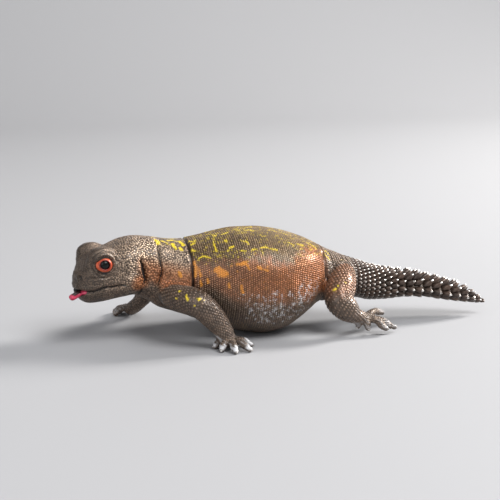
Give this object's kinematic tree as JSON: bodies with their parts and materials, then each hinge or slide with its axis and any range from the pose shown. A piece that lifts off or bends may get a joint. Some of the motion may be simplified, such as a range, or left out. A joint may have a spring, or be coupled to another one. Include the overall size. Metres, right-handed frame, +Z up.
{
  "type": "toy spiny-tailed lizard figure",
  "caption": "Painted moulded toy of a spiny-tailed lizard walking with its head turned and tongue out, resting on its belly and feet.",
  "frame": {"origin": "on the small flat under the belly, in the surface the toy stands on, below the middle of its back", "axes": "+Z up, -X towards the head, -Y towards the lizard's left side"},
  "size_m": [0.1495, 0.068, 0.0351],
  "materials": {
    "bronze_paint": "dark grey-brown moulded PVC, brushed with bronze",
    "copper_paint": "moulded PVC sprayed copper on the flanks, with yellow, orange and white flecks",
    "graphite_paint": "dark moulded PVC, spines and toes brushed with silver",
    "eye_gloss": "gloss black",
    "tongue_paint": "gloss pink"
  },
  "bodies": {
    "root": {"head": "bronze_paint", "eye_left": "eye_gloss", "eye_right": "eye_gloss", "tongue": "tongue_paint", "neck": "bronze_paint", "torso": "copper_paint", "hips": "bronze_paint", "tail_base": "graphite_paint", "tail_middle": "graphite_paint", "tail_tip": "graphite_paint", "upper_arm_left": "bronze_paint", "forearm_left": "graphite_paint", "hand_left": "graphite_paint", "upper_arm_right": "bronze_paint", "forearm_right": "graphite_paint", "hand_right": "graphite_paint", "thigh_left": "bronze_paint", "shin_left": "graphite_paint", "foot_left": "graphite_paint", "thigh_right": "bronze_paint", "shin_right": "graphite_paint", "foot_right": "graphite_paint"}
  },
  "joints": []
}
